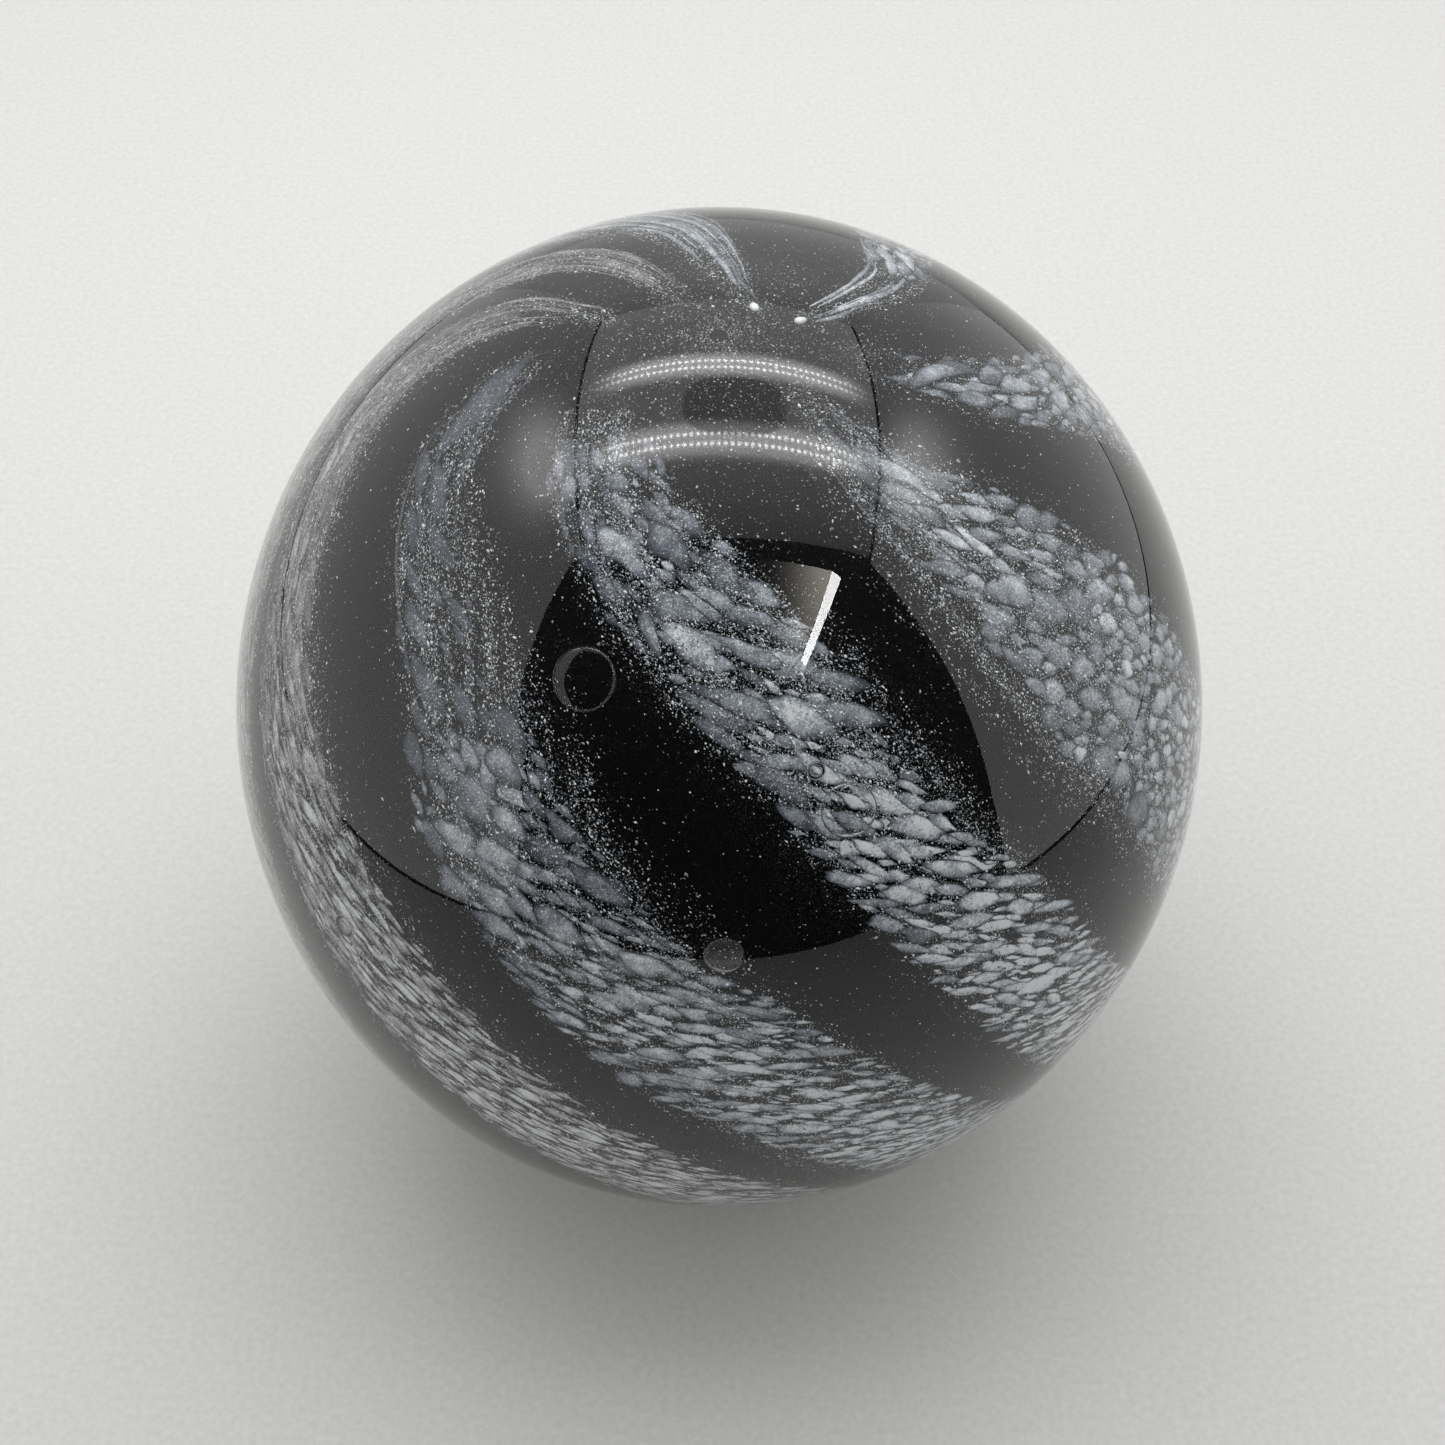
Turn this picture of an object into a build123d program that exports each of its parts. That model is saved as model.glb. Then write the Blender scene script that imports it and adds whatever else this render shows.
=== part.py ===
from build123d import *

import math
import os

# Decorative ball of solid art glass: a black glass core, white glass frit rolled
# onto it and twisted into eight spiral bands, and a thick clear casing over both.
# The origin is the middle of the ground base, +Z points up through the crown,
# and the side that is seen first faces -Y.

os.makedirs("parts", exist_ok=True)

# ---- driving dimensions, mm and degrees ----

ball_width = 90.0  # across the middle
spheroid_height = 97.0  # pole to pole, before the base is ground away
base_flat_diameter = 30.0  # ground and polished resting face
base_edge_bevel = 0.4  # small bevel round the ground face
core_neck_diameter = 16.0  # where the core was held, ground flush with the base
casing_wall = 4.0  # clear glass over the core
frit_depth = 0.8  # how deep the rolled-in white frit sits in the core
frit_cutter_height = 5.0  # depth of the blade that cuts a band out of the frit layer
stations_per_band = 11
band_end_narrowing = 0.35  # share of its full width that a band keeps at the base end
tip_bead_radius = 0.5  # drawn-out end of a band, at the crown

# Each band runs down from the crown. Its stops are (angle from the crown, longitude),
# longitude counted from +X towards +Y, and its widths are in degrees of the surface.
BANDS = {
    "frit_band_1": dict(
        stops=[(9.4, 21), (17, 30), (24, 37), (34, 51), (60, 70), (85, 95), (110, 122), (150, 165)],
        start_width=3.0, full_width=16.0, full_at=60.0,
    ),
    "frit_band_2": dict(
        stops=[
            (6.3, 52), (8.5, 74), (13, 88), (18, 95), (25, 101),
            (35, 112), (60, 138), (85, 155), (110, 176), (150, 215),
        ],
        start_width=3.0, full_width=18.0, full_at=50.0,
    ),
    "frit_band_3": dict(
        stops=[(8.0, 122), (25, 130), (37, 143), (54, 165), (85, 196), (110, 220), (150, 258)],
        start_width=3.0, full_width=13.0, full_at=70.0,
    ),
    "frit_band_4": dict(
        stops=[
            (12, 159), (25, 156), (40, 167), (60, 193),
            (71, 207.5), (81, 222), (110, 262), (150, 312),
        ],
        start_width=3.0, full_width=17.0, full_at=78.0,
    ),
    "frit_band_5": dict(
        stops=[(20, 179), (32, 196), (45, 226), (59, 242), (74, 259.5), (85, 273), (110, 298), (150, 343)],
        start_width=4.0, full_width=18.0, full_at=56.0,
    ),
    "frit_band_6": dict(
        stops=[
            (16, 214), (26, 246), (37, 271), (46, 283), (54, 289),
            (63, 295.5), (78, 305.5), (92, 313.5), (110, 327), (150, 371),
        ],
        start_width=7.0, full_width=16.5, full_at=44.0,
    ),
    "frit_band_7": dict(
        stops=[
            (10, 316), (24, 316), (36, 322.5), (50, 329),
            (60, 333.5), (85, 342), (110, 358), (150, 397),
        ],
        start_width=3.0, full_width=24.0, full_at=55.0,
    ),
    "frit_band_8": dict(
        stops=[(15, -6), (25, -2), (34, 5), (41, 11), (48, 17), (60, 24), (85, 42), (110, 69), (150, 109)],
        start_width=5.0, full_width=16.0, full_at=55.0,
    ),
}

# Bands whose inner end was pulled to a point and nipped off, leaving a small bead.
BEADED_BANDS = {"frit_tip_1": "frit_band_1", "frit_tip_2": "frit_band_2"}

# Air trapped in the casing: (angle from the crown, longitude), width, thickness and
# the depth of its middle below the outer surface.
BUBBLES = [
    ((41.5, 249), 5.0, 0.6, 2.2),
    ((54.0, 286.5), 4.4, 0.7, 2.4),
    ((49.5, 283), 1.5, 1.4, 2.6),
    ((81.0, 223.5), 2.2, 1.9, 2.2),
    ((51.0, 242), 1.2, 1.1, 3.2),
    ((68.0, 270.5), 3.2, 0.6, 2.6),
    ((72.0, 30), 1.6, 1.4, 2.4),
    ((95.0, 130), 2.4, 1.8, 2.2),
    ((60.0, 175), 1.2, 1.1, 2.8),
]

# ---- sizes that follow ----

outer_radius = ball_width / 2
outer_rise = spheroid_height / 2
core_radius = outer_radius - casing_wall
core_rise = outer_rise - casing_wall
centre_height = outer_rise * math.sqrt(1 - (base_flat_diameter / 2 / outer_radius) ** 2)
core_neck_height = centre_height - core_rise + 2 * casing_wall


def surface_point(angle, longitude, inset):
    """A point on the spheroid that lies inset below the outer surface."""
    radius = outer_radius - inset
    rise = outer_rise - inset
    ring = radius * math.sin(math.radians(angle))
    return Vector(
        ring * math.cos(math.radians(longitude)),
        ring * math.sin(math.radians(longitude)),
        centre_height + rise * math.cos(math.radians(angle)),
    )


def surface_normal(angle, longitude, inset):
    """The outward direction at that point."""
    point = surface_point(angle, longitude, inset) - Vector(0, 0, centre_height)
    radius = outer_radius - inset
    rise = outer_rise - inset
    return Vector(point.X / radius**2, point.Y / radius**2, point.Z / rise**2).normalized()


def spheroid(inset):
    """A solid spheroid that lies inset below the ball's outer surface all over."""
    radius = outer_radius - inset
    rise = outer_rise - inset
    with BuildPart() as body:
        with BuildSketch(Plane.XZ):
            with BuildLine():
                EllipticalCenterArc((0, centre_height), radius, rise, start_angle=-90, arc_size=180)
                Line((0, centre_height + rise), (0, centre_height - rise))
            make_face()
        revolve(axis=Axis.Z)
    return body.part


def band_width(band, angle):
    """The band's width in mm where it is that far down from the crown."""
    first = band["stops"][0][0]
    last = band["stops"][-1][0]
    opening = min(1.0, (angle - first) / (band["full_at"] - first))
    closing = max(0.0, (angle - band["full_at"]) / (last - band["full_at"]))
    degrees = band["start_width"] + (band["full_width"] - band["start_width"]) * opening
    degrees *= 1 - (1 - band_end_narrowing) * closing**3
    return math.radians(degrees) * core_radius


def band_blade(band):
    """A curved blade that stands across the core's surface along the band."""
    route = Spline(*band["stops"])
    stations = [route @ (n / (stations_per_band - 1)) for n in range(stations_per_band)]
    points = [surface_point(stop.X, stop.Y, casing_wall) for stop in stations]
    with BuildPart() as blade:
        for n, stop in enumerate(stations):
            before = points[max(n - 1, 0)]
            after = points[min(n + 1, stations_per_band - 1)]
            along = (after - before).normalized()
            outward = surface_normal(stop.X, stop.Y, casing_wall)
            across = outward.cross(along).normalized()
            section = Plane(origin=points[n], x_dir=across, z_dir=along)
            with BuildSketch(section):
                Rectangle(band_width(band, stop.X), frit_cutter_height)
        loft()
    return blade.part


def bubble(width, thickness):
    """A trapped bubble, flattened along Z."""
    with BuildPart() as void:
        Sphere(width / 2)
        scale(by=(1, 1, thickness / width))
    return void.part


# ---- the core's skin, in which the frit is set ----

core_blank = spheroid(casing_wall)
core_under_frit = spheroid(casing_wall + frit_depth)

with BuildPart() as frit_layer:
    add(core_blank)
    add(core_under_frit, mode=Mode.SUBTRACT)

with BuildPart() as core_neck:
    Cylinder(
        core_neck_diameter / 2,
        core_neck_height,
        align=(Align.CENTER, Align.CENTER, Align.MIN),
    )

# ---- the frit: white glass rolled flush into the core's skin ----

tip_beads = []
for name, band_name in BEADED_BANDS.items():
    start = BANDS[band_name]["stops"][0]
    with BuildPart() as frit_tip:
        with Locations(surface_point(*start, casing_wall)):
            Sphere(tip_bead_radius)
    frit_tip.part.label = name
    tip_beads.append(frit_tip.part)
    export_step(frit_tip.part, f"parts/{name}.step")

blades = {name: band_blade(band) for name, band in BANDS.items()}
for name, blade in blades.items():
    with BuildPart() as frit_band:
        add(blade)
        add(frit_layer.part, mode=Mode.INTERSECT)
        for bead in tip_beads:
            add(bead, mode=Mode.SUBTRACT)
    frit_band.part.label = name
    export_step(frit_band.part, f"parts/{name}.step")

# ---- the black core: solid glass, and what is left of its skin between the bands ----

with BuildPart() as black_core:
    add(frit_layer.part)
    for blade in blades.values():
        add(blade, mode=Mode.SUBTRACT)
    add(core_under_frit)
    add(core_neck.part)
    for bead in tip_beads:
        add(bead, mode=Mode.SUBTRACT)
black_core.part.label = "black_core"
export_step(black_core.part, "parts/black_core.step")

# ---- the clear casing, with its trapped air and its ground base ----

with BuildPart() as clear_casing:
    add(spheroid(0))
    split(bisect_by=Plane.XY, keep=Keep.TOP)
    base_edge = clear_casing.edges().sort_by(Axis.Z)[0]
    chamfer(base_edge, base_edge_bevel)
    add(core_blank, mode=Mode.SUBTRACT)
    add(core_neck.part, mode=Mode.SUBTRACT)
    for bead in tip_beads:
        add(bead, mode=Mode.SUBTRACT)
    for place, width, thickness, depth in BUBBLES:
        at = Plane(origin=surface_point(*place, depth), z_dir=surface_normal(*place, depth))
        with Locations(at):
            add(bubble(width, thickness), mode=Mode.SUBTRACT)
clear_casing.part.label = "clear_casing"
export_step(clear_casing.part, "parts/clear_casing.step")

print(f"height {centre_height + outer_rise:.2f} mm, centre at {centre_height:.2f} mm")
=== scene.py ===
import math

import bmesh
import bpy
import numpy as np
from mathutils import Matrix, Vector


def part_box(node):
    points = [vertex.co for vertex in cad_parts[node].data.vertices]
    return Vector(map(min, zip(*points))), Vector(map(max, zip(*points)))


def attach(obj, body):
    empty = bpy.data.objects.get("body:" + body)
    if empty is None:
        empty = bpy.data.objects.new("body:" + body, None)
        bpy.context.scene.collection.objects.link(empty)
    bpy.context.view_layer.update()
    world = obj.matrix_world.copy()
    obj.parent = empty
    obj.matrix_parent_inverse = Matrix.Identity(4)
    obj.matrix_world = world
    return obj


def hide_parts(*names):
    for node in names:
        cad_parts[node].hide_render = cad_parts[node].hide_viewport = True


# Looks of a solid art-glass ball: a black core, white frit in eight spiral bands on
# it, and a thick clear casing over both. Metres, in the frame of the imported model.
# Angles are in degrees: "angle" is counted from the crown, "longitude" from +X to +Y.

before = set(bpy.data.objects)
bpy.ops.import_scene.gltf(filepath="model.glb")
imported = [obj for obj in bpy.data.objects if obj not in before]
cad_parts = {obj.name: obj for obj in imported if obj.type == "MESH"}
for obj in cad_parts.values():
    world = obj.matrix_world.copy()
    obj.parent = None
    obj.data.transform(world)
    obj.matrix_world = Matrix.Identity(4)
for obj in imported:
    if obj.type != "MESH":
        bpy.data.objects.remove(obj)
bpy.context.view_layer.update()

MM = 0.001
ROOT = "root"

# ---- sizes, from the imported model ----

CASING_LOW, CASING_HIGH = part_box("clear_casing")
CORE_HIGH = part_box("black_core")[1]
BASE_RADIUS = 15 * MM  # the ground resting face
BASE_BEVEL = 0.4 * MM
NECK_RADIUS = 8 * MM  # the core's neck, ground flush with the base
SAFETY = 0.02 * MM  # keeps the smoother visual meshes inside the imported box

OUTER_RADIUS = (CASING_HIGH.x - CASING_LOW.x) / 2
HEIGHT = CASING_HIGH.z
OUTER_RISE = HEIGHT / (1 + math.sqrt(1 - (BASE_RADIUS / OUTER_RADIUS) ** 2))
CENTRE_HEIGHT = HEIGHT - OUTER_RISE
WALL = CASING_HIGH.z - CORE_HIGH.z
CENTRE = np.array([0.0, 0.0, CENTRE_HEIGHT])

# ---- the frit's layout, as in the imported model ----

BANDS = {
    "frit_band_1": dict(
        stops=[
            (9.4, 21), (17, 30), (24, 37), (34, 51),
            (60, 70), (85, 95), (110, 122), (150, 165),
        ],
        start_width=3.0, full_width=16.0, full_at=60.0,
    ),
    "frit_band_2": dict(
        stops=[
            (6.3, 52), (8.5, 74), (13, 88), (18, 95), (25, 101),
            (35, 112), (60, 138), (85, 155), (110, 176), (150, 215),
        ],
        start_width=3.0, full_width=18.0, full_at=50.0,
    ),
    "frit_band_3": dict(
        stops=[(8.0, 122), (25, 130), (37, 143), (54, 165), (85, 196), (110, 220), (150, 258)],
        start_width=3.0, full_width=13.0, full_at=70.0,
    ),
    "frit_band_4": dict(
        stops=[
            (12, 159), (25, 156), (40, 167), (60, 193),
            (71, 207.5), (81, 222), (110, 262), (150, 312),
        ],
        start_width=3.0, full_width=17.0, full_at=78.0,
    ),
    "frit_band_5": dict(
        stops=[
            (20, 179), (32, 196), (45, 226), (59, 242),
            (74, 259.5), (85, 273), (110, 298), (150, 343),
        ],
        start_width=4.0, full_width=18.0, full_at=56.0,
    ),
    "frit_band_6": dict(
        stops=[
            (16, 214), (26, 246), (37, 271), (46, 283), (54, 289),
            (63, 295.5), (78, 305.5), (92, 313.5), (110, 327), (150, 371),
        ],
        start_width=7.0, full_width=16.5, full_at=44.0,
    ),
    "frit_band_7": dict(
        stops=[
            (10, 316), (24, 316), (36, 322.5), (50, 329),
            (60, 333.5), (85, 342), (110, 358), (150, 397),
        ],
        start_width=3.0, full_width=24.0, full_at=55.0,
    ),
    "frit_band_8": dict(
        stops=[
            (15, -6), (25, -2), (34, 5), (41, 11), (48, 17),
            (60, 24), (85, 42), (110, 69), (150, 109),
        ],
        start_width=5.0, full_width=16.0, full_at=55.0,
    ),
}
BAND_END_NARROWING = 0.35
BEADED_BANDS = {"frit_tip_1": "frit_band_1", "frit_tip_2": "frit_band_2"}
TIP_BEAD_RADIUS = 0.5 * MM

# Air in the casing: (angle, longitude), width, thickness and depth of its middle, mm.
BUBBLES = [
    ((41.5, 249), 5.0, 0.6, 2.2),
    ((54.0, 286.5), 4.4, 0.7, 2.4),
    ((49.5, 283), 1.5, 1.4, 2.6),
    ((81.0, 223.5), 2.2, 1.9, 2.2),
    ((51.0, 242), 1.2, 1.1, 3.2),
    ((68.0, 270.5), 3.2, 0.6, 2.6),
    ((72.0, 30), 1.6, 1.4, 2.4),
    ((95.0, 130), 2.4, 1.8, 2.2),
    ((60.0, 175), 1.2, 1.1, 2.8),
]

# How each band looks on its way down from the crown. Every list is (angle, value):
#   chip_fill    share of the places that hold a chip
#   chip_length  mm
#   chip_aspect  length over width
#   chip_side    where the middle of the chips lies across the band, -1 left, 1 right
#   chip_spread  how much wider than the band the chips and the powder lie
#   chip_turn    degrees that the chips lie turned from the band towards its right edge
#   chip_white_and_painted_light  how white the chips are; lower down it is raised as painted light
#   grains       powder per square mm
#   grain_side   which way the powder thins out across the band
# The rest is about the drawn-out threads of glass at the band's upper end: how many
# there are, the angles that they run between, their half width in mm and how white.
BAND_LOOKS = {
    "frit_band_1": dict(
        chip_fill=[(27, 0.0), (30, 0.6), (60, 1.0)],
        chip_length=[(27, 3.4), (45, 3.6), (90, 3.0)],
        chip_aspect=[(27, 2.2), (60, 2.8), (90, 3.4)],
        chip_side=[(27, 0.0)],
        chip_spread=[(0, 1.0)],
        chip_turn=[(27, 0), (60, 15), (90, 25)],
        chip_white_and_painted_light=[(27, 0.8)],
        grains=[(9, 10), (30, 16), (45, 12), (150, 8)],
        grain_side=[(9, 0.0)],
        strands=16, strand_span=(9.6, 29), strand_width=0.26, strand_light=0.8,
    ),
    "frit_band_2": dict(
        chip_fill=[(32, 0.0), (42, 0.5), (70, 1.0)],
        chip_length=[(32, 4.2), (60, 4.2), (90, 3.2)],
        chip_aspect=[(32, 4.5), (60, 4.0), (90, 3.6)],
        chip_side=[(32, 0.0)],
        chip_spread=[(0, 1.0)],
        chip_turn=[(32, 0), (60, 10), (90, 25)],
        chip_white_and_painted_light=[(32, 0.7)],
        grains=[(6, 10), (30, 20), (60, 14), (150, 8)],
        grain_side=[(6, 0.0)],
        strands=34, strand_span=(6.6, 48), strand_width=0.22, strand_light=0.75,
    ),
    "frit_band_3": dict(
        chip_fill=[(30, 0.0), (50, 0.6), (70, 0.9)],
        chip_length=[(30, 4.6), (60, 4.6), (90, 3.4)],
        chip_aspect=[(30, 5.5), (60, 4.4), (90, 3.6)],
        chip_side=[(30, 0.0)],
        chip_spread=[(0, 1.0)],
        chip_turn=[(30, 0), (90, 15)],
        chip_white_and_painted_light=[(30, 0.5), (90, 0.75)],
        grains=[(8, 12), (30, 26), (60, 24), (150, 8)],
        grain_side=[(8, 0.0)],
        strands=34, strand_span=(10, 60), strand_width=0.14, strand_light=0.6,
    ),
    "frit_band_4": dict(
        chip_fill=[(26, 0.0), (40, 0.55), (58, 0.85), (80, 1.0)],
        chip_length=[(26, 5.0), (50, 5.0), (70, 4.4), (95, 3.4)],
        chip_aspect=[(26, 5.5), (50, 4.0), (70, 3.8), (90, 3.6)],
        chip_side=[(26, 0.0), (70, 0.05), (90, 0.12)],
        chip_spread=[(26, 1.0), (70, 1.15), (90, 1.3)],
        chip_turn=[(26, 0), (65, 8), (90, 16)],
        chip_white_and_painted_light=[(26, 0.5), (60, 0.64), (70, 0.85), (85, 1.15)],
        grains=[(12, 10), (30, 26), (60, 26), (90, 14), (150, 8)],
        grain_side=[(12, 0.1), (55, 0.45), (100, 0.25)],
        strands=34, strand_span=(13, 60), strand_width=0.14, strand_light=0.5,
    ),
    "frit_band_5": dict(
        chip_fill=[(22, 0.05), (40, 0.08), (49, 0.12), (53, 0.6), (64, 0.85), (80, 1.0)],
        chip_length=[(22, 5.4), (45, 3.8), (56, 3.8), (66, 4.4), (80, 3.8), (95, 3.0)],
        chip_aspect=[(22, 5.0), (45, 2.4), (56, 1.9), (65, 3.0), (90, 3.6)],
        chip_side=[(22, -0.1), (40, -0.3), (54, -0.15), (66, -0.1), (78, -0.05), (90, 0.1)],
        chip_spread=[(22, 1.1), (54, 1.25), (80, 1.25), (90, 1.2)],
        chip_turn=[(22, 5), (55, 20), (70, 26), (95, 30)],
        chip_white_and_painted_light=[(22, 0.35), (50, 0.42), (56, 0.82), (62, 0.68), (72, 0.95), (95, 1.3)],
        grains=[(18, 12), (30, 22), (50, 25), (60, 28), (78, 20), (150, 10)],
        grain_side=[(18, 0.0), (40, 0.1), (56, 0.3), (70, 0.25), (90, 0.0)],
        strands=6, strand_span=(20, 44), strand_width=0.18, strand_light=0.3,
    ),
    "frit_band_6": dict(
        chip_fill=[(20, 0.3), (28, 0.55), (38, 0.72), (50, 0.9), (60, 1.0)],
        chip_length=[(22, 3.4), (34, 5.0), (48, 5.2), (60, 4.4), (75, 3.8), (95, 3.0)],
        chip_aspect=[(22, 2.0), (38, 2.9), (60, 3.2), (80, 3.8)],
        chip_side=[(20, 0.12), (36, 0.12), (46, -0.08), (60, -0.1), (80, -0.04)],
        chip_spread=[(20, 1.8), (30, 1.5), (38, 1.2), (48, 0.95), (60, 1.0), (80, 1.1)],
        chip_turn=[(22, 8), (38, 18), (55, 26), (70, 32), (95, 32)],
        chip_white_and_painted_light=[(22, 0.55), (34, 0.75), (50, 1.05), (70, 1.25), (90, 1.4)],
        grains=[(14, 24), (28, 54), (45, 36), (60, 20), (80, 10), (150, 6)],
        grain_side=[(14, 0.3), (45, 0.18), (80, 0.0)],
        strands=4, strand_span=(17, 32), strand_width=0.18, strand_light=0.3,
    ),
    "frit_band_7": dict(
        chip_fill=[(18, 0.0), (22, 0.3), (32, 0.55), (44, 0.8), (60, 0.95)],
        chip_length=[(18, 5.0), (32, 4.6), (48, 3.8), (62, 2.9), (80, 2.3), (95, 2.0)],
        chip_aspect=[(18, 4.4), (38, 2.8), (50, 1.9), (70, 1.6), (95, 2.0)],
        chip_side=[(18, 0.3), (40, 0.18), (55, 0.06)],
        chip_spread=[(20, 1.4), (44, 1.3), (60, 1.08)],
        chip_turn=[(18, 8), (38, 16), (60, 22), (95, 20)],
        chip_white_and_painted_light=[(18, 0.5), (36, 0.82), (60, 0.84), (90, 1.05)],
        grains=[(10, 12), (28, 38), (45, 42), (60, 30), (80, 18), (150, 9)],
        grain_side=[(10, 0.0), (32, -0.3), (60, -0.2), (80, 0.0)],
        strands=10, strand_span=(11, 34), strand_width=0.2, strand_light=0.4,
    ),
    "frit_band_8": dict(
        chip_fill=[(20, 0.0), (22, 0.5), (36, 0.6), (44, 0.9), (56, 0.7), (70, 1.0)],
        chip_length=[(20, 5.6), (36, 5.0), (44, 3.6), (60, 2.2), (80, 2.4)],
        chip_aspect=[(20, 3.4), (36, 2.8), (46, 1.7), (60, 2.4), (80, 2.8)],
        chip_side=[(20, 0.0)],
        chip_spread=[(0, 1.0)],
        chip_turn=[(20, 6), (50, 15), (80, 22)],
        chip_white_and_painted_light=[(20, 0.72), (50, 0.75), (90, 0.85)],
        grains=[(12, 5), (40, 10), (55, 26), (70, 20), (150, 9)],
        grain_side=[(12, 0.0), (50, -0.3), (80, 0.0)],
        strands=0, strand_span=(12, 20), strand_width=0.1, strand_light=0.0,
    ),
}

# ---- the ball's surfaces ----


def along_list(pairs, angle):
    """The value that a list of (angle, value) has at each angle."""
    return np.interp(angle, [pair[0] for pair in pairs], [pair[1] for pair in pairs])


def unit(vectors):
    return vectors / np.linalg.norm(vectors, axis=-1, keepdims=True)


def spheroid_axes(inset):
    return np.array([OUTER_RADIUS - inset, OUTER_RADIUS - inset, OUTER_RISE - inset])


def surface_point(angle, longitude, inset):
    """Points on the spheroid that lies inset below the outer surface."""
    turn = np.radians(longitude)
    tilt = np.radians(angle)
    direction = [np.sin(tilt) * np.cos(turn), np.sin(tilt) * np.sin(turn), np.cos(tilt)]
    return CENTRE + np.stack(direction, -1) * spheroid_axes(inset)


def surface_normal(points, inset):
    """Outward directions of that spheroid at points on it."""
    return unit((points - CENTRE) / spheroid_axes(inset) ** 2)


def pressed_on(points, height):
    """Points moved straight in or out until they stand height above the core's surface."""
    offset = points - CENTRE
    on_surface = offset / np.linalg.norm(offset / spheroid_axes(WALL), axis=-1, keepdims=True)
    seat = CENTRE + on_surface
    return seat + surface_normal(seat, WALL) * height[..., None]


class Band:
    """The centre line of one band, and what lies along and across it."""

    def __init__(self, stops, start_width, full_width, full_at):
        stop_angle = np.array([stop[0] for stop in stops], float)
        stop_longitude = np.array([stop[1] for stop in stops], float)
        self.angle = np.linspace(stop_angle[0], stop_angle[-1], 300)
        self.longitude = smooth_through(stop_angle, stop_longitude, self.angle)
        self.line = surface_point(self.angle, self.longitude, WALL)
        steps = np.linalg.norm(np.diff(self.line, axis=0), axis=1)
        self.run = np.concatenate([[0.0], np.cumsum(steps)])
        opening = np.clip((self.angle - stop_angle[0]) / (full_at - stop_angle[0]), 0, 1)
        closing = np.clip((self.angle - full_at) / (stop_angle[-1] - full_at), 0, 1)
        width = start_width + (full_width - start_width) * opening
        width *= 1 - (1 - BAND_END_NARROWING) * closing**3
        self.half = np.radians(width) * (OUTER_RADIUS - WALL) / 2
        self.spread = np.gradient(self.half, self.run)
        self.along = unit(np.gradient(self.line, axis=0))
        self.across = unit(np.cross(surface_normal(self.line, WALL), self.along))

    def columns(self, table, angle):
        """Each column of a table along the band, read at those angles."""
        return np.stack([np.interp(angle, self.angle, column) for column in table.T], -1)

    def place(self, angle, side):
        """Points on the core and flow directions, side -1 to 1 from left edge to right edge."""
        across = self.columns(self.across, angle)
        half = np.interp(angle, self.angle, self.half)
        spread = np.interp(angle, self.angle, self.spread)
        points = self.columns(self.line, angle) + across * (side * half)[..., None]
        flow = self.columns(self.along, angle) + across * (side * spread)[..., None]
        return pressed_on(points, np.zeros(np.shape(angle))), unit(flow)

    def scatter(self, rng, count, weight):
        """Angles drawn so that their number per square mm follows weight (angle, value)."""
        density = along_list(weight, self.angle) * self.half
        steps = (density[1:] + density[:-1]) / 2 * np.diff(self.run)
        total = np.concatenate([[0.0], np.cumsum(steps)])
        return np.interp(rng.random(count) * total[-1], total, self.angle)

    def amount(self, weight, reach):
        """The sum of weight (angle, value per square mm) over reach times the band's area."""
        density = along_list(weight, self.angle) * self.half * 2 * reach / MM**2
        return int(np.sum((density[1:] + density[:-1]) / 2 * np.diff(self.run)))


def smooth_through(xs, ys, at):
    """A smooth curve through the given points (cubic, with the slopes of its neighbours)."""
    slope = np.gradient(ys, xs)
    part = np.clip(np.searchsorted(xs, at, side="right") - 1, 0, len(xs) - 2)
    span = xs[part + 1] - xs[part]
    t = (at - xs[part]) / span
    return (
        ys[part] * (2 * t**3 - 3 * t**2 + 1)
        + ys[part + 1] * (3 * t**2 - 2 * t**3)
        + slope[part] * span * (t**3 - 2 * t**2 + t)
        + slope[part + 1] * span * (t**3 - t**2)
    )


# ---- mesh making ----


def mesh_piece(name, points, faces, material, values=None):
    """One smooth-shaded mesh object, with named values on its points."""
    mesh = bpy.data.meshes.new(name)
    mesh.from_pydata(points.tolist(), [], faces.tolist() if hasattr(faces, "tolist") else faces)
    mesh.shade_smooth()
    for key, numbers in (values or {}).items():
        layer = mesh.attributes.new(key, "FLOAT", "POINT")
        layer.data.foreach_set("value", np.ascontiguousarray(numbers, np.float32).ravel())
    mesh.materials.append(material)
    piece = bpy.data.objects.new(name, mesh)
    bpy.context.scene.collection.objects.link(piece)
    return piece


def icosphere(steps):
    """Points and triangles of a unit ball of even triangles."""
    ball = bmesh.new()
    bmesh.ops.create_icosphere(ball, subdivisions=steps, radius=1.0)
    points = np.array([vert.co for vert in ball.verts])
    faces = np.array([[vert.index for vert in face.verts] for face in ball.faces])
    ball.free()
    return points, faces


def repeated(faces, count, stride):
    """The faces of count copies of one form that has stride points."""
    return (faces[None] + np.arange(count)[:, None, None] * stride).reshape(-1, faces.shape[1])


def copies(faces, count, stride):
    """As repeated, for a list of faces that have different numbers of corners."""
    return [[corner + n * stride for corner in face] for n in range(count) for face in faces]


def ringed_faces(rings, corners):
    """Faces of a closed form: a top point, rings of so many corners, and a bottom point."""
    last = 1 + rings * corners
    faces = []
    for n in range(corners):
        onward = (n + 1) % corners
        faces.append([0, 1 + n, 1 + onward])
        for low in range(1, last - corners, corners):
            faces.append([low + n, low + corners + n, low + corners + onward, low + onward])
        faces.append([last - corners + n, last, last - corners + onward])
    return faces


def local_axes(points, flow, turn):
    """Directions along and across the flow at points on the core, turned by turn radians."""
    normal = surface_normal(points, WALL)
    across = unit(np.cross(normal, flow))
    forward = unit(np.cross(across, normal))
    cos, sin = np.cos(turn)[:, None], np.sin(turn)[:, None]
    return forward * cos + across * sin, across * cos - forward * sin


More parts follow.
